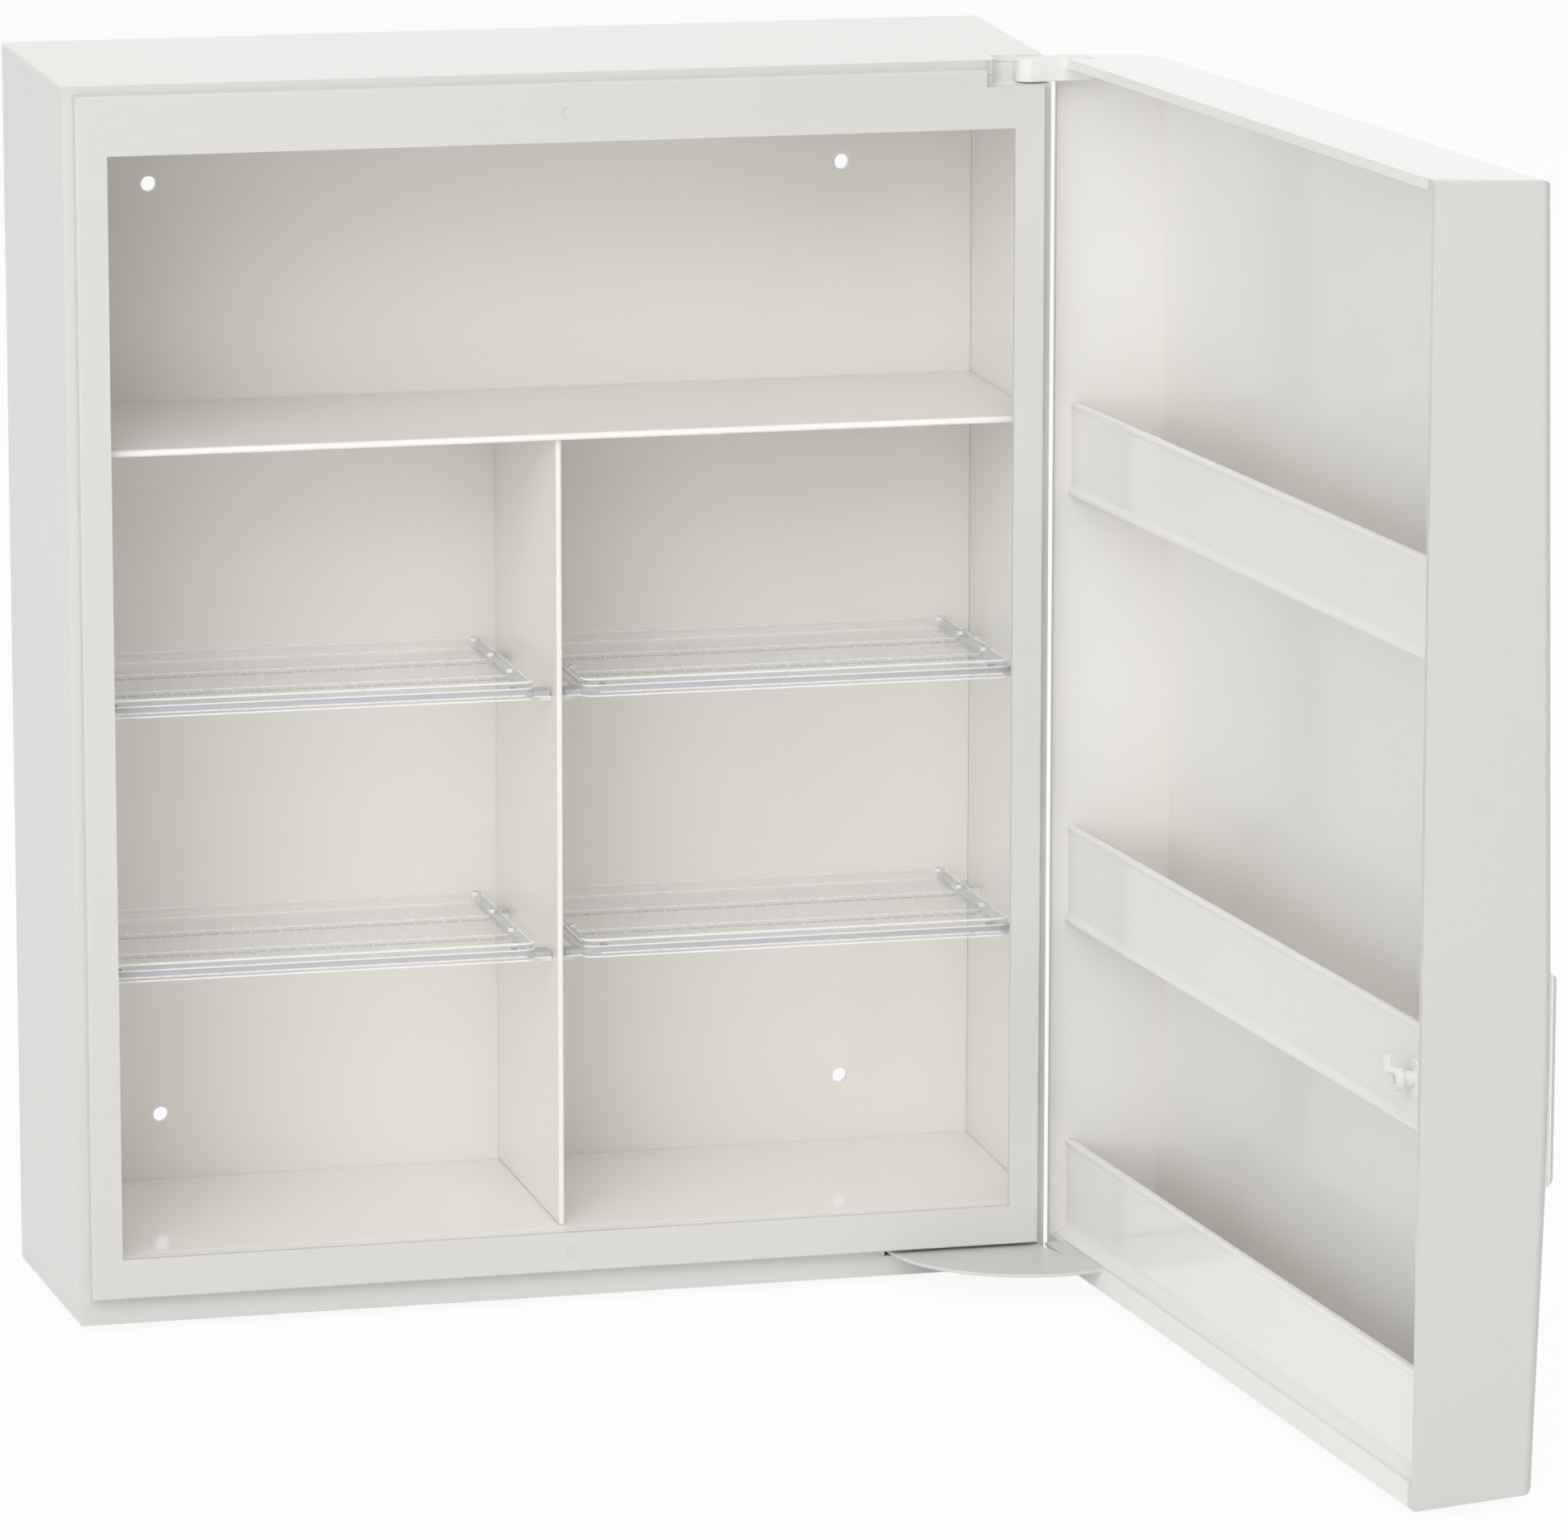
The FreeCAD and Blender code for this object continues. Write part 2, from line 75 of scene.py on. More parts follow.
def setInputs(node, values):
    for label, value in values.items():
        node.inputs[label].default_value = value


def feed(tree, sockets, values):  # plain values are set, outputs of other nodes are linked
    for socket, value in zip(sockets, values):
        if isinstance(value, (int, float, tuple)):
            socket.default_value = value
        else:
            tree.links.new(value, socket)


def mathStep(tree, operation, first, second):
    node = addNode(tree, "ShaderNodeMath", operation=operation)
    feed(tree, node.inputs, (first, second))
    return node.outputs[0]


def mixColour(tree, factor, first, second):
    node = addNode(tree, "ShaderNodeMix", data_type="RGBA")
    feed(tree, [s for s in node.inputs if s.enabled], (factor, first, second))
    return [s for s in node.outputs if s.enabled][0]


def mixShaders(tree, factor, first, second, outputKind):
    mix = addNode(tree, "ShaderNodeMixShader")
    feed(tree, mix.inputs, (factor, first.outputs[0], second.outputs[0]))
    tree.links.new(mix.outputs[0], addNode(tree, outputKind).inputs[0])


def newGroup(name, inputs, outputs):
    group = bpy.data.node_groups.new(name, "ShaderNodeTree")
    for label, kind, value in inputs:
        socket = group.interface.new_socket(label, in_out="INPUT", socket_type=kind)
        socket.default_value = value
    for label, kind in outputs:
        group.interface.new_socket(label, in_out="OUTPUT", socket_type=kind)
    return group, addNode(group, "NodeGroupInput"), addNode(group, "NodeGroupOutput")


def placeGroup(tree, group, values):
    node = addNode(tree, "ShaderNodeGroup")
    node.node_tree = group
    setInputs(node, values)
    return node


# camera at the photograph's viewing angle
cameraSet = {"azimuth": -14.127, "elevation": 11.456, "roll": 0.057, "lens": 203.43, "sensor": 36,
             "place": (-0.6753, -3.1089, 0.5950), "nearest": 0.05, "farthest": 200}


def placeCamera():
    azimuth, elevation, roll = (math.radians(cameraSet[k]) for k in ("azimuth", "elevation", "roll"))
    back = Vector((math.sin(azimuth) * math.cos(elevation), -math.cos(azimuth) * math.cos(elevation),
                   math.sin(elevation)))
    right = Vector((0, 0, 1)).cross(back).normalized()
    turn = Matrix((right, back.cross(right), back)).transposed().to_4x4()
    data = bpy.data.cameras.new("studioCamera")
    data.sensor_width, data.lens = cameraSet["sensor"], cameraSet["lens"]
    data.clip_start, data.clip_end = cameraSet["nearest"], cameraSet["farthest"]
    camera = bpy.data.objects.new("studioCamera", data)
    camera.matrix_world = Matrix.Translation(cameraSet["place"]) @ turn @ Matrix.Rotation(roll, 4, "Z")
    scene.collection.objects.link(camera)
    scene.camera = camera


placeCamera()
print("camera placed")

# pale floor, soft lamps and a white surround
lightSet = {"worldStrength": 0.20, "aim": (0, -0.1, 0)}
floorSet = {"tone": (0.93, 0.93, 0.93, 1), "glow": 0.92, "drop": 0.0003, "size": 60.0}
lampSet = {
    "topLamp": {"place": (-0.16, 0.54, 3.44), "size": 3.8, "power": 37.0},
    "keyLamp": {"place": (-1.76, -3.3, 1.62), "size": 4.0, "power": 32.0},
    "sideLamp": {"place": (-2.72, -2.98, 0.42), "size": 4.4, "power": 79.0},
    "overLamp": {"place": (-0.3, -2.7, 2.6), "size": 3.4, "power": 42.0},
    "rimLamp": {"place": (3.2, 1.98, 1.76), "size": 5.0, "power": 58.0},
}


def seenDirectly(tree):
    path = addNode(tree, "ShaderNodeLightPath")
    seen = mathStep(tree, "MAXIMUM", path.outputs["Is Camera Ray"], path.outputs["Is Glossy Ray"])
    return mathStep(tree, "MAXIMUM", seen, path.outputs["Is Transmission Ray"])


def buildSurround():
    world = bpy.data.worlds.new("studio")
    world.use_nodes = True
    tree = world.node_tree
    tree.nodes.clear()
    dim = addNode(tree, "ShaderNodeBackground", Color=pureWhite, Strength=lightSet["worldStrength"])
    bright = addNode(tree, "ShaderNodeBackground", Color=pureWhite, Strength=1.0)
    mixShaders(tree, seenDirectly(tree), dim, bright, "ShaderNodeOutputWorld")
    scene.world = world


def buildFloor():
    half, level = floorSet["size"] / 2, cadBox[0][2] - floorSet["drop"]
    mesh = bpy.data.meshes.new("paleFloor")
    mesh.from_pydata([(-half, -half, level), (half, -half, level), (half, half, level), (-half, half, level)],
                     [], [(0, 1, 2, 3)])
    floor = bpy.data.objects.new("paleFloor", mesh)
    scene.collection.objects.link(floor)
    material = bpy.data.materials.new("paleFloor")
    material.use_nodes = True
    tree = material.node_tree
    tree.nodes.clear()
    matt = addNode(tree, "ShaderNodeBsdfDiffuse", Color=floorSet["tone"])
    glow = addNode(tree, "ShaderNodeEmission", Color=pureWhite, Strength=1.0)
    seen = mathStep(tree, "MULTIPLY", seenDirectly(tree), floorSet["glow"])
    mixShaders(tree, seen, matt, glow, "ShaderNodeOutputMaterial")
    mesh.materials.append(material)


def buildLamp(name):
    values = lampSet[name]
    data = bpy.data.lights.new(name, "AREA")
    data.shape, data.size, data.energy = "DISK", values["size"], values["power"]
    lamp = bpy.data.objects.new(name, data)
    lamp.location = values["place"]
    lamp.visible_glossy = False  # the white surround gives the sheen, so that pale tops don't burn out
    aim = Vector(lightSet["aim"]) - Vector(values["place"])
    lamp.rotation_euler = aim.to_track_quat("-Z", "Y").to_euler()
    scene.collection.objects.link(lamp)


buildSurround()
buildFloor()
for name in lampSet:
    buildLamp(name)
scene.view_settings.view_transform = "Standard"
print("studio built:", len(lampSet), "lamps")

# shared moulding texture: faint tint drift, soft ripple and fine handling marks
skinSet = {
    "drift": {"Scale": 5.0, "Detail": 3.0, "Roughness": 0.55},
    "ripple": {"Scale": 22.0, "Detail": 2.0, "Roughness": 0.5},
    "grain": {"Scale": 900.0, "Detail": 4.0, "Roughness": 0.6},
    "scuff": {"Scale": 1.0, "Detail": 5.0, "Roughness": 0.7},
    "scuffStretch": {"Scale": (260, 260, 14), "Rotation": (0.3, 0.5, 0.2)},
    "driftRange": {"From Min": 0.1, "From Max": 0.9},
    "scuffRange": {"From Min": 0.58, "From Max": 0.8},
    "scuffRoughness": 0.12, "grainHeight": 0.04,
}


def buildMouldedSkin():
    group, inside, outside = newGroup("mouldedSkin", [
        ("Tint", "NodeSocketColor", (0.85, 0.84, 0.81, 1)), ("Shade", "NodeSocketColor", (0.80, 0.79, 0.75, 1)),
        ("Gloss", "NodeSocketFloat", 0.2), ("Haze", "NodeSocketFloat", 0.08),
        ("Ripple", "NodeSocketFloat", 1.0), ("Marks", "NodeSocketFloat", 1.0)],
        [("Color", "NodeSocketColor"), ("Roughness", "NodeSocketFloat"), ("Height", "NodeSocketFloat")])
    place = addNode(group, "ShaderNodeTexCoord").outputs["Object"]
    drift, ripple, grain, scuff = (addNode(group, "ShaderNodeTexNoise", **skinSet[k])
                                   for k in ("drift", "ripple", "grain", "scuff"))
    stretch = addNode(group, "ShaderNodeMapping")
    setInputs(stretch, skinSet["scuffStretch"])
    for node in (drift, ripple, grain, stretch):
        group.links.new(place, node.inputs["Vector"])
    group.links.new(stretch.outputs[0], scuff.inputs["Vector"])

    blend = addNode(group, "ShaderNodeMapRange", interpolation_type="SMOOTHERSTEP")
    setInputs(blend, skinSet["driftRange"])
    group.links.new(drift.outputs[0], blend.inputs["Value"])
    colour = mixColour(group, blend.outputs[0], inside.outputs["Tint"], inside.outputs["Shade"])
    group.links.new(colour, outside.inputs["Color"])

    marks = addNode(group, "ShaderNodeMapRange")
    setInputs(marks, skinSet["scuffRange"])
    group.links.new(scuff.outputs[0], marks.inputs["Value"])
    worn = mathStep(group, "MULTIPLY", marks.outputs[0], inside.outputs["Marks"])
    haze = mathStep(group, "MULTIPLY", inside.outputs["Haze"], drift.outputs[0])
    rough = mathStep(group, "ADD", inside.outputs["Gloss"], haze)
    rough = mathStep(group, "ADD", rough, mathStep(group, "MULTIPLY", worn, skinSet["scuffRoughness"]))
    group.links.new(rough, outside.inputs["Roughness"])

    wave = mathStep(group, "MULTIPLY", ripple.outputs[0], inside.outputs["Ripple"])
    fine = mathStep(group, "MULTIPLY", grain.outputs[0], skinSet["grainHeight"])
    group.links.new(mathStep(group, "ADD", wave, fine), outside.inputs["Height"])
    return group


# painted shade: outer faces are darkened a little, those in front of a plane and those facing outward
paintedShadeSet = {"shellWhite": {"Front Plane": -0.109, "Front Shade": 0.19, "Side Shade": 0.09},
              "doorWhite": {"Front Plane": -0.443, "Front Shade": 0.21, "Side Shade": 0.19}}
outwardLimit = 0.7


def buildPaintedShadeTone():
    group, inside, outside = newGroup("paintedShadeTone", [
        ("Color", "NodeSocketColor", (0.9, 0.9, 0.9, 1)), ("Front Plane", "NodeSocketFloat", -0.1),
        ("Front Shade", "NodeSocketFloat", 0.1), ("Side Shade", "NodeSocketFloat", 0.1)],
        [("Color", "NodeSocketColor")])
    surface = addNode(group, "ShaderNodeTexCoord")
    place, facing = addNode(group, "ShaderNodeSeparateXYZ"), addNode(group, "ShaderNodeSeparateXYZ")
    group.links.new(surface.outputs["Object"], place.inputs[0])
    group.links.new(surface.outputs["Normal"], facing.inputs[0])
    front = mathStep(group, "LESS_THAN", place.outputs["Y"], inside.outputs["Front Plane"])
    side = mathStep(group, "SIGN", place.outputs["X"], 0.0)
    outward = mathStep(group, "MULTIPLY", side, facing.outputs["X"])
    outer = mathStep(group, "GREATER_THAN", outward, outwardLimit)
    paintedShade = mathStep(group, "MAXIMUM", mathStep(group, "MULTIPLY", front, inside.outputs["Front Shade"]),
                      mathStep(group, "MULTIPLY", outer, inside.outputs["Side Shade"]))
    group.links.new(mixColour(group, paintedShade, inside.outputs["Color"], pureBlack), outside.inputs["Color"])
    return group


mouldedSkin, paintedShadeTone = buildMouldedSkin(), buildPaintedShadeTone()


def skinnedMaterial(name, skinValues, shaderValues, bumpValues):
    material = bpy.data.materials.new(name)
    material.use_nodes = True
    tree = material.node_tree
    shader = tree.nodes["Principled BSDF"]
    setInputs(shader, shaderValues)
    skin = placeGroup(tree, mouldedSkin, skinValues)
    tree.links.new(skin.outputs["Color"], shader.inputs["Base Color"])
    tree.links.new(skin.outputs["Roughness"], shader.inputs["Roughness"])
    bump = addNode(tree, "ShaderNodeBump", **bumpValues)
    tree.links.new(skin.outputs["Height"], bump.inputs["Height"])
    tree.links.new(bump.outputs[0], shader.inputs["Normal"])
    return material, shader, skin


# white plastics and the steel of the pins
plasticSet = {
    "shellWhite": {"Tint": (0.885, 0.876, 0.85, 1), "Shade": (0.87, 0.859, 0.828, 1),
                   "Gloss": 0.24, "Haze": 0.10, "Ripple": 1.0, "Marks": 1.0},
    "doorWhite": {"Tint": (0.918, 0.907, 0.876, 1), "Shade": (0.904, 0.892, 0.858, 1),
                  "Gloss": 0.08, "Haze": 0.06, "Ripple": 1.0, "Marks": 0.5},
    # painted light: the shelf white is a lighter copy of the inner white, making up for light that reaches the
    # shelf top only at a grazing angle
    "shelfWhite": {"Tint": (0.97, 0.955, 0.92, 1), "Shade": (0.962, 0.944, 0.903, 1),
                   "Gloss": 0.30, "Haze": 0.08, "Ripple": 0.6, "Marks": 0.1},
    "floorWhite": {"Tint": (0.955, 0.94, 0.908, 1), "Shade": (0.945, 0.928, 0.89, 1),
                   "Gloss": 0.03, "Haze": 0.03, "Ripple": 0.3, "Marks": 0.1},
    # painted shade: the back white is a darker copy of the inner white, toning down the lit back panel
    "backPaintedShadeWhite": {"Tint": (0.885, 0.869, 0.828, 1), "Shade": (0.872, 0.853, 0.803, 1),
                  "Gloss": 0.10, "Haze": 0.08, "Ripple": 1.0, "Marks": 0.6},
    "innerWhite": {"Tint": (0.925, 0.906, 0.858, 1), "Shade": (0.912, 0.889, 0.83, 1),
                   "Gloss": 0.10, "Haze": 0.08, "Ripple": 1.0, "Marks": 0.6},
    "pocketWhite": {"Tint": (0.92, 0.91, 0.882, 1), "Shade": (0.905, 0.893, 0.862, 1),
                    "Gloss": 0.08, "Haze": 0.06, "Ripple": 0.8, "Marks": 0.5},
    "trimWhite": {"Tint": (0.88, 0.872, 0.85, 1), "Shade": (0.865, 0.855, 0.825, 1),
                  "Gloss": 0.20, "Haze": 0.10, "Ripple": 0.6, "Marks": 1.0},
    "pinSteel": {"Tint": (0.62, 0.62, 0.61, 1), "Shade": (0.52, 0.52, 0.51, 1),
                 "Gloss": 0.22, "Haze": 0.15, "Ripple": 0.4, "Marks": 1.5},
}
plasticBump = {"Strength": 0.05, "Distance": 0.0006}
plasticShader = {"IOR": 1.5, "Metallic": 0.0}
ownShader = {"shelfWhite": {"IOR": 1.32}, "pinSteel": {"Metallic": 1.0}}


def plasticMaterial(name):
    shaderValues = {**plasticShader, **ownShader.get(name, {})}
    material, shader, skin = skinnedMaterial(name, plasticSet[name], shaderValues, plasticBump)
    # painted shade on the front and outward faces of the shell and door whites
    if name in paintedShadeSet:
        tree = material.node_tree
        shaded = placeGroup(tree, paintedShadeTone, paintedShadeSet[name])
        tree.links.new(skin.outputs["Color"], shaded.inputs["Color"])
        tree.links.new(shaded.outputs["Color"], shader.inputs["Base Color"])
    return material


# clear plastic of the shelves: the plain sheet, then the painted shade, painted highlights and painted glow of
# its bands, beads, strokes and rims
clearSet = {
    "clearStyrene": {"Tint": (0.86, 0.865, 0.87, 1), "Shade": (0.82, 0.825, 0.84, 1),
                     "veil": 0.025, "edge": 0.13, "glow": 0.0},
    # painted shade: a blue-grey band for the darkening seen in the front bar's groove, also on the pegs, front
    # ears and the inner foot of the side rims
    "clearBandShade": {"Tint": (0.52, 0.525, 0.575, 1), "Shade": (0.60, 0.605, 0.65, 1),
                  "veil": 0.60, "edge": 0.2, "glow": 0.0},
    # painted highlight with painted glow: near-white glint lines on the beads, rim tops and post sides
    "clearGlint": {"Tint": (0.95, 0.955, 0.96, 1), "Shade": (0.92, 0.925, 0.93, 1),
                   "veil": 0.72, "edge": 0.25, "glow": 0.1},
    # painted highlight with painted glow: white strokes on the raised lines, rib tops and rear rim
    "clearStrokeGlint": {"Tint": (0.95, 0.955, 0.96, 1), "Shade": (0.92, 0.925, 0.93, 1),
                    "veil": 0.45, "edge": 0.2, "glow": 0.09},
    "clearShade": {"Tint": (0.34, 0.33, 0.32, 1), "Shade": (0.42, 0.41, 0.40, 1),
                   "veil": 0.45, "edge": 0.2, "glow": 0.0},
    # painted shade: a grey-blue veil on the side rims, posts and rear ears
    "clearRimShade": {"Tint": (0.68, 0.69, 0.73, 1), "Shade": (0.76, 0.77, 0.80, 1),
                 "veil": 0.22, "edge": 0.25, "glow": 0.0},
}
clearSkin = {"Gloss": 0.05, "Haze": 0.04, "Ripple": 1.0, "Marks": 0.1}
clearBump = {"Strength": 0.04, "Distance": 0.0004}
clearShader = {"IOR": 1.55, "Emission Color": pureWhite}
clearBlend = 0.35


def clearMaterial(name):
    values = clearSet[name]
    skinValues = {"Tint": values["Tint"], "Shade": values["Shade"], **clearSkin}
    shaderValues = {**clearShader, "Emission Strength": values["glow"]}  # painted glow: emission stands in for light gathered by the thin edges
    material, shader, skin = skinnedMaterial(name, skinValues, shaderValues, clearBump)
    tree = material.node_tree
    rim = addNode(tree, "ShaderNodeLayerWeight", Blend=clearBlend)  # painted sheen: a clear sheet shows more of itself edge on, in place of its reflection at grazing angles
    alpha = mathStep(tree, "MULTIPLY", rim.outputs["Fresnel"], values["edge"])
    tree.links.new(mathStep(tree, "ADD", alpha, values["veil"]), shader.inputs["Alpha"])
    return material


plastics = {name: plasticMaterial(name) for name in plasticSet}
clears = {name: clearMaterial(name) for name in clearSet}
slotFinish = {"white_shell": "shellWhite", "white_inner": "innerWhite", "white_pocket": "pocketWhite",
              "white_trim": "trimWhite", "clear_plastic": "clearStyrene", "steel_pin": "pinSteel"}
ownFinish = {"door_shell": "doorWhite", "handle_pad": "doorWhite", "latch_knob": "doorWhite",
             "back_panel": "backPaintedShadeWhite", "fixed_shelf": "shelfWhite", "floor_panel": "floorWhite"}
for row in frame["record"]["subparts"]:
    materials = nodes[row["node"]].data.materials
    finish = ownFinish.get(row["node"], slotFinish[row["material_slot"]])
    materials.clear()
    materials.append({**plastics, **clears}[finish])
print("finishes made:", len(plastics) + len(clears))

# softened edges, because moulded parts have no knife edges
edgeSet = {"housing": 0.5, "door_shell": 1.2, "centre_divider": 0.6, "fixed_shelf": 0.3, "floor_panel": 0.3,
           "pocket_front_upper": 0.35, "pocket_front_middle": 0.35, "pocket_front_lower": 0.35,
           "pocket_floor_upper": 0.3, "pocket_floor_middle": 0.3, "guide_plate": 0.3, "hinge_tongue": 0.5,
           "handle_pad": 0.5, "latch_knob": 0.5, "latch_cam": 0.4, "latch_tube": 0.3, "latch_collar": 0.3}
edgeRules = {"angle": 35, "segments": 2, "joinWithin": 0.00001, "flatWithin": 0.1, "faceWeight": 100}


def softenEdges(piece, width, segments):
    bevel = piece.modifiers.new("softEdge", "BEVEL")
    bevel.width, bevel.segments, bevel.limit_method = width * mm, segments, "ANGLE"
    bevel.angle_limit = math.radians(edgeRules["angle"])


for name, width in edgeSet.items():
    piece = nodes[name]
    piece.modifiers.new("join", "WELD").merge_threshold = edgeRules["joinWithin"]
    flat = piece.modifiers.new("flatFaces", "DECIMATE")  # whole flat faces take a bevel cleanly
    flat.decimate_type, flat.angle_limit = "DISSOLVE", math.radians(edgeRules["flatWithin"])
    softenEdges(piece, width, edgeRules["segments"])
    piece.modifiers.new("evenShading", "WEIGHTED_NORMAL").weight = edgeRules["faceWeight"]
print("edges softened:", len(edgeSet))

latticeDigits = 5
cubeSides = [  # step to the neighbouring cell, and the corners of the face between
    ((1, 0, 0), ((1, 0, 0), (1, 1, 0), (1, 1, 1), (1, 0, 1))),
    ((-1, 0, 0), ((0, 0, 0), (0, 0, 1), (0, 1, 1), (0, 1, 0))),
    ((0, 1, 0), ((0, 1, 0), (0, 1, 1), (1, 1, 1), (1, 1, 0))),
    ((0, -1, 0), ((0, 0, 0), (1, 0, 0), (1, 0, 1), (0, 0, 1))),
    ((0, 0, 1), ((0, 0, 1), (1, 0, 1), (1, 1, 1), (0, 1, 1))),
    ((0, 0, -1), ((0, 0, 0), (0, 1, 0), (1, 1, 0), (1, 0, 0))),
]


# one closed mesh from pairs of finish and box on a shared lattice: faces stand only between full and empty cells
def latticeMesh(solids):
    breaks = [sorted({round(v, latticeDigits) for _, box in solids for v in box[axis]}) for axis in range(3)]
    full = {}
    for finish, box in solids:  # a later box gives its finish to cells it shares with an earlier one
        spans = [range(line.index(round(min(side), latticeDigits)), line.index(round(max(side), latticeDigits)))
                 for line, side in zip(breaks, box)]
        for cell in itertools.product(*spans):
            full[cell] = finish
    work = bmesh.new()
    corners = {}

    def corner(*spot):
        if spot not in corners:
            corners[spot] = work.verts.new([line[i] for line, i in zip(breaks, spot)])
        return corners[spot]

    for cell in sorted(full):
        for step, face in cubeSides:
            if tuple(c + d for c, d in zip(cell, step)) not in full:
                made = work.faces.new([corner(*(c + f for c, f in zip(cell, spot))) for spot in face])
                made.material_index = full[cell]
    return work


def finishedMesh(name, work, materials):
    mesh = bpy.data.meshes.new(name)
    work.to_mesh(mesh)
    work.free()
    for material in materials:
        mesh.materials.append(material)
    return mesh


# small fillers behind the lip: a strip that carries the floor to the lip and a stop at the slot's end
fillerDims = {
    "floor_strip": {"box": ((-164.0, 164.0), (-113.0, -106.9), (-197.6, -195.32)), "round": 0.5, "segments": 3},
    "slot_stop": {"box": ((112.6, 117.6), (-108.9, -104.6), (-214.6, -206.4)), "round": 0.7, "segments": 3},
}


def buildFiller(name):
    d = SimpleNamespace(**fillerDims[name])
    work = latticeMesh([(0, d.box)])
    bmesh.ops.bevel(work, geom=work.edges[:], offset=d.round, segments=d.segments, affect="EDGES", profile=0.5)
    bmesh.ops.scale(work, vec=(mm, mm, mm), verts=work.verts)
    piece = bpy.data.objects.new(name, finishedMesh(name, work, [plastics["floorWhite"]]))
    scene.collection.objects.link(piece)
    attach(piece, "cabinet")


for name in fillerDims:
    buildFiller(name)
print("fillers built:", len(fillerDims))

# clear shelf, drawn once about its own middle and set in four places
trayDims = {
    "half": 78.975, "back": -6.0, "front": -102.0, "floor": 1.5, "rim": 1.8, "rimTop": 5.2, "barTop": 6.5,
    "bead": 0.5, "beadDepth": 0.4, "dashes": (1.4, 1.8), "band": (1.8, 3.8), "bandLine": (3.8, 4.25),
    "ribs": (-38.0, -70.0), "ribWidth": 0.9, "ribTop": 2.9,
    "linePitch": 5.5, "lineWidth": 0.6, "lineRise": 0.25,
    "strokeLength": 6.5, "strokeRise": 0.45, "strokeFromFront": 1.5, "strokeFromRib": 1.0,
    "postSize": 1.8, "postTop": 5.6, "postGlint": 1.4, "postInset": 0.6,
    "pegIn": 6.5, "pegSize": 2.0, "pegTop": 4.6,
    "ears": ((-18.0, -28.0), (-92.0, -102.0)), "earEnd": 84.975, "earTop": 2.4,
    "corner": 4.0, "cornerSteps": 6, "cornerReach": 3, "cornerFade": 2,  # reach and fade in corner radii
    "flatWithin": 0.01, "edge": 0.08, "edgeSegments": 1,
}
# material indices of the clear finishes: painted shade for the band, dark lines and rims, painted highlights
# with painted glow for the bright beads and strokes
plain, bandShade, bright, strokeGlint, dark, rimShade = range(len(clearSet))  # in clearSet's order


def trayPlate(d):
    wide, inner, skin = (-d.half, d.half), d.front + d.rim, d.front + d.beadDepth
    solids = []
    for i in range(d.cornerSteps):  # extra breaks that let the front corners curve
        turn = d.corner * (1 - math.sin(math.radians(90 / d.cornerSteps * (i + 1))))
        for side in (-1, 1):
            across = (side * (d.half - d.corner), side * (d.half - turn))
            solids.append((plain, (across, (skin, inner), (0, d.bead))))
    solids += [(plain, (wide, (skin, d.back), (0, d.floor))),
               (plain, (wide, (skin, inner), (0, d.barTop))),
               # painted shade: the blue-grey band along the front bar
               (bandShade, (wide, (skin, inner), d.band)),
               # painted highlights: bright beads along the front bar and its top
               (bright, (wide, (d.front, skin), (0, d.bead))),
               (bright, (wide, (d.front, skin), d.bandLine)),
               (bright, (wide, (d.front, inner), (d.barTop - d.bead, d.barTop))),
               (plain, (wide, (d.back - d.rim, d.back), (0, d.rimTop))),
               (strokeGlint, (wide, (d.back - d.bead, d.back), (d.rimTop - d.bead, d.rimTop))),
               (strokeGlint, (wide, (d.back - d.rim - d.bead, d.back - d.rim), d.dashes))]
    for rib in d.ribs:
        solids += [(plain, (wide, (rib - d.ribWidth, rib), (0, d.ribTop))),
                   (strokeGlint, (wide, (rib - d.ribWidth, rib), (d.ribTop, d.ribTop + d.lineRise)))]
    return solids


# fine raised lines running front to back, painted highlight strokes on them, and broken lines of painted shade
# beside the ribs
def trayLines(d):
    inner = d.front + d.rim
    feet = [inner + d.strokeFromFront] + [rib + d.strokeFromRib for rib in d.ribs]
    stroke = (d.floor, d.floor + d.strokeRise)
    solids = []
    for i in range(int(2 * d.half / d.linePitch) - 1):
        line = -d.half + d.linePitch * (i + 1)
        thin, gap = (line, line + d.lineWidth), (line + d.lineWidth, line + d.linePitch)
        solids += [(plain, (thin, (inner, d.back - d.rim), (d.floor, d.floor + d.lineRise))),
                   (bright, (gap, (d.front, d.front + d.beadDepth), d.dashes))]
        solids += [(strokeGlint, (thin, (foot, foot + d.strokeLength), stroke)) for foot in feet]
        solids += [(dark, (gap, (rib - d.ribWidth - d.bead, rib - d.ribWidth), stroke)) for rib in d.ribs]
    return solids


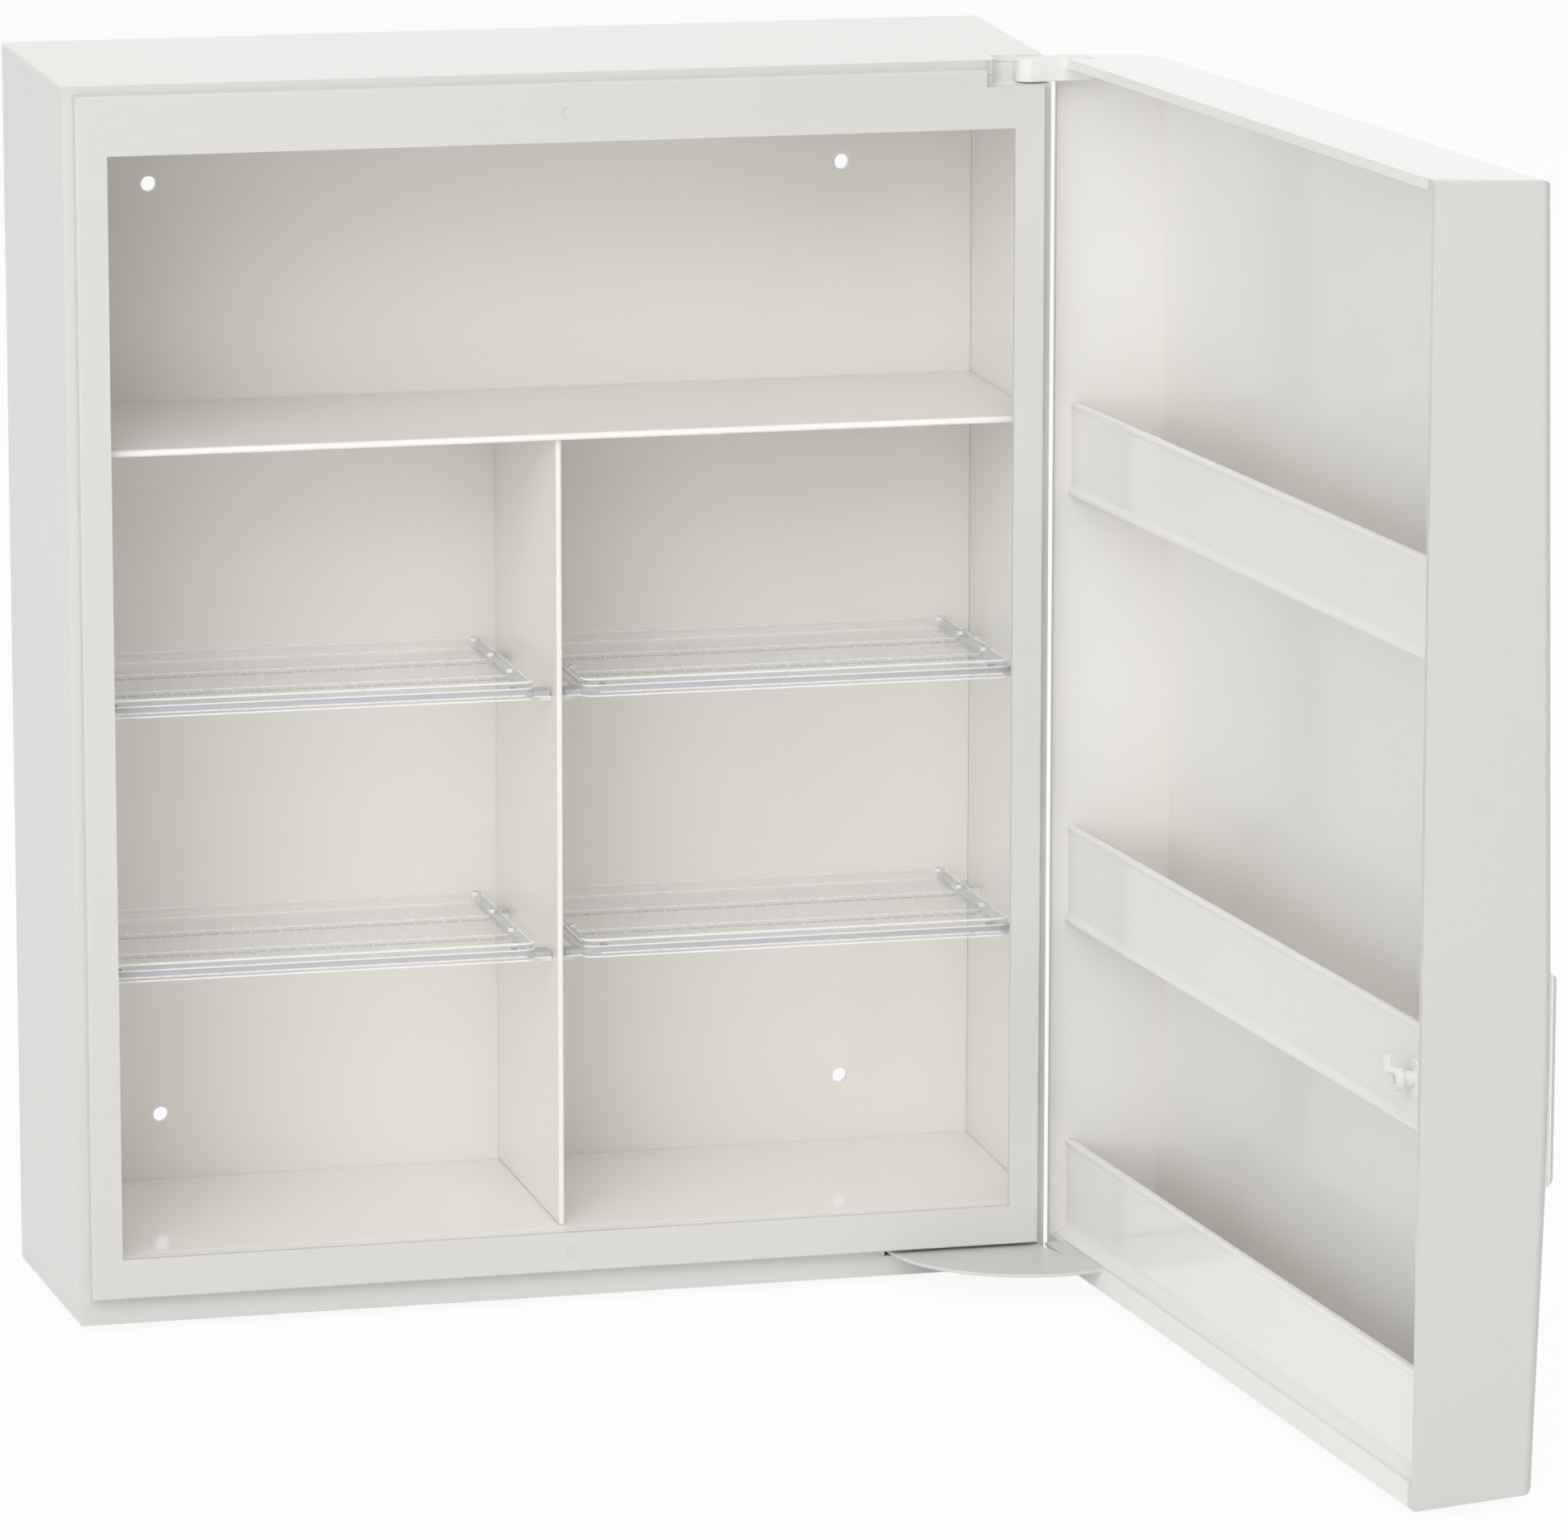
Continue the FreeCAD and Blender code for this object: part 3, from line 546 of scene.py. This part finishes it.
def traySide(d, side):
    inner, edge = d.front + d.rim, side * d.half
    wall = edge - side * d.rim
    # painted shade on the side rim and posts, painted highlight along the rim's top edge and the post sides
    solids = [(rimShade, ((edge, wall), (inner, d.back), (0, d.rimTop))),
              (bandShade, ((wall, edge - side * (d.rim + d.bead)), (inner, d.back - d.rim),
                      (d.floor, d.floor + d.bead))),
              (bright, ((edge, edge - side * d.bead), (inner, d.back), (d.rimTop - d.bead, d.rimTop)))]
    reach = edge - side * (d.rim + d.postSize)
    for low in [d.back - d.rim - d.postSize] + [rib - d.postSize / 2 - d.ribWidth / 2 for rib in d.ribs]:
        high = low + d.postSize
        solids += [(rimShade, ((edge, reach), (low, high), (0, d.postTop))),
                   (bright, ((wall, reach), (low, low + d.bead), (d.postTop - d.postGlint, d.postTop))),
                   (dark, ((wall, reach + side * d.postInset), (low + d.postInset, high - d.postInset),
                           (d.postTop, d.postTop + d.lineRise)))]
    peg = edge - side * d.pegIn
    solids.append((bandShade, ((peg, peg - side * d.pegSize), (inner, inner + d.pegSize), (d.bead, d.pegTop))))
    for ear, finish in zip(d.ears, (rimShade, bandShade)):
        across = (edge, side * d.earEnd)
        solids += [(finish, (across, ear, (0, d.earTop))), (bright, (across, ear, (0, d.bead)))]
    return solids


def buildTray():
    d = SimpleNamespace(**trayDims)
    work = latticeMesh(trayPlate(d) + trayLines(d) + traySide(d, -1) + traySide(d, 1))
    for vert in work.verts:  # bend the front corners round
        over = min(max(abs(vert.co.x) - d.half + d.corner, 0), d.corner)
        sweep = d.corner - math.sqrt(d.corner ** 2 - over ** 2)
        near = (d.front + d.cornerReach * d.corner - vert.co.y) / (d.cornerFade * d.corner)
        vert.co.y += sweep * max(0, min(1, near))
    bmesh.ops.scale(work, vec=(mm, mm, mm), verts=work.verts)
    bmesh.ops.dissolve_limit(work, angle_limit=d.flatWithin, verts=work.verts, edges=work.edges,
                             delimit={"MATERIAL"})
    return finishedMesh("clearShelf", work, clears.values())


trayMesh = buildTray()
for name in [n for n in nodes if n.startswith("clear_shelf_")]:
    low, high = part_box(name)
    tray = bpy.data.objects.new(name.replace("clear_shelf", "tray"), trayMesh)
    scene.collection.objects.link(tray)
    tray.location = ((low[0] + high[0]) / 2, 0, low[2])
    softenEdges(tray, trayDims["edge"], trayDims["edgeSegments"])
    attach(tray, name.replace("clear_shelf", "shelf"))
    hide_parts(name)
print("clear shelves built:", len(trayMesh.polygons), "faces each")
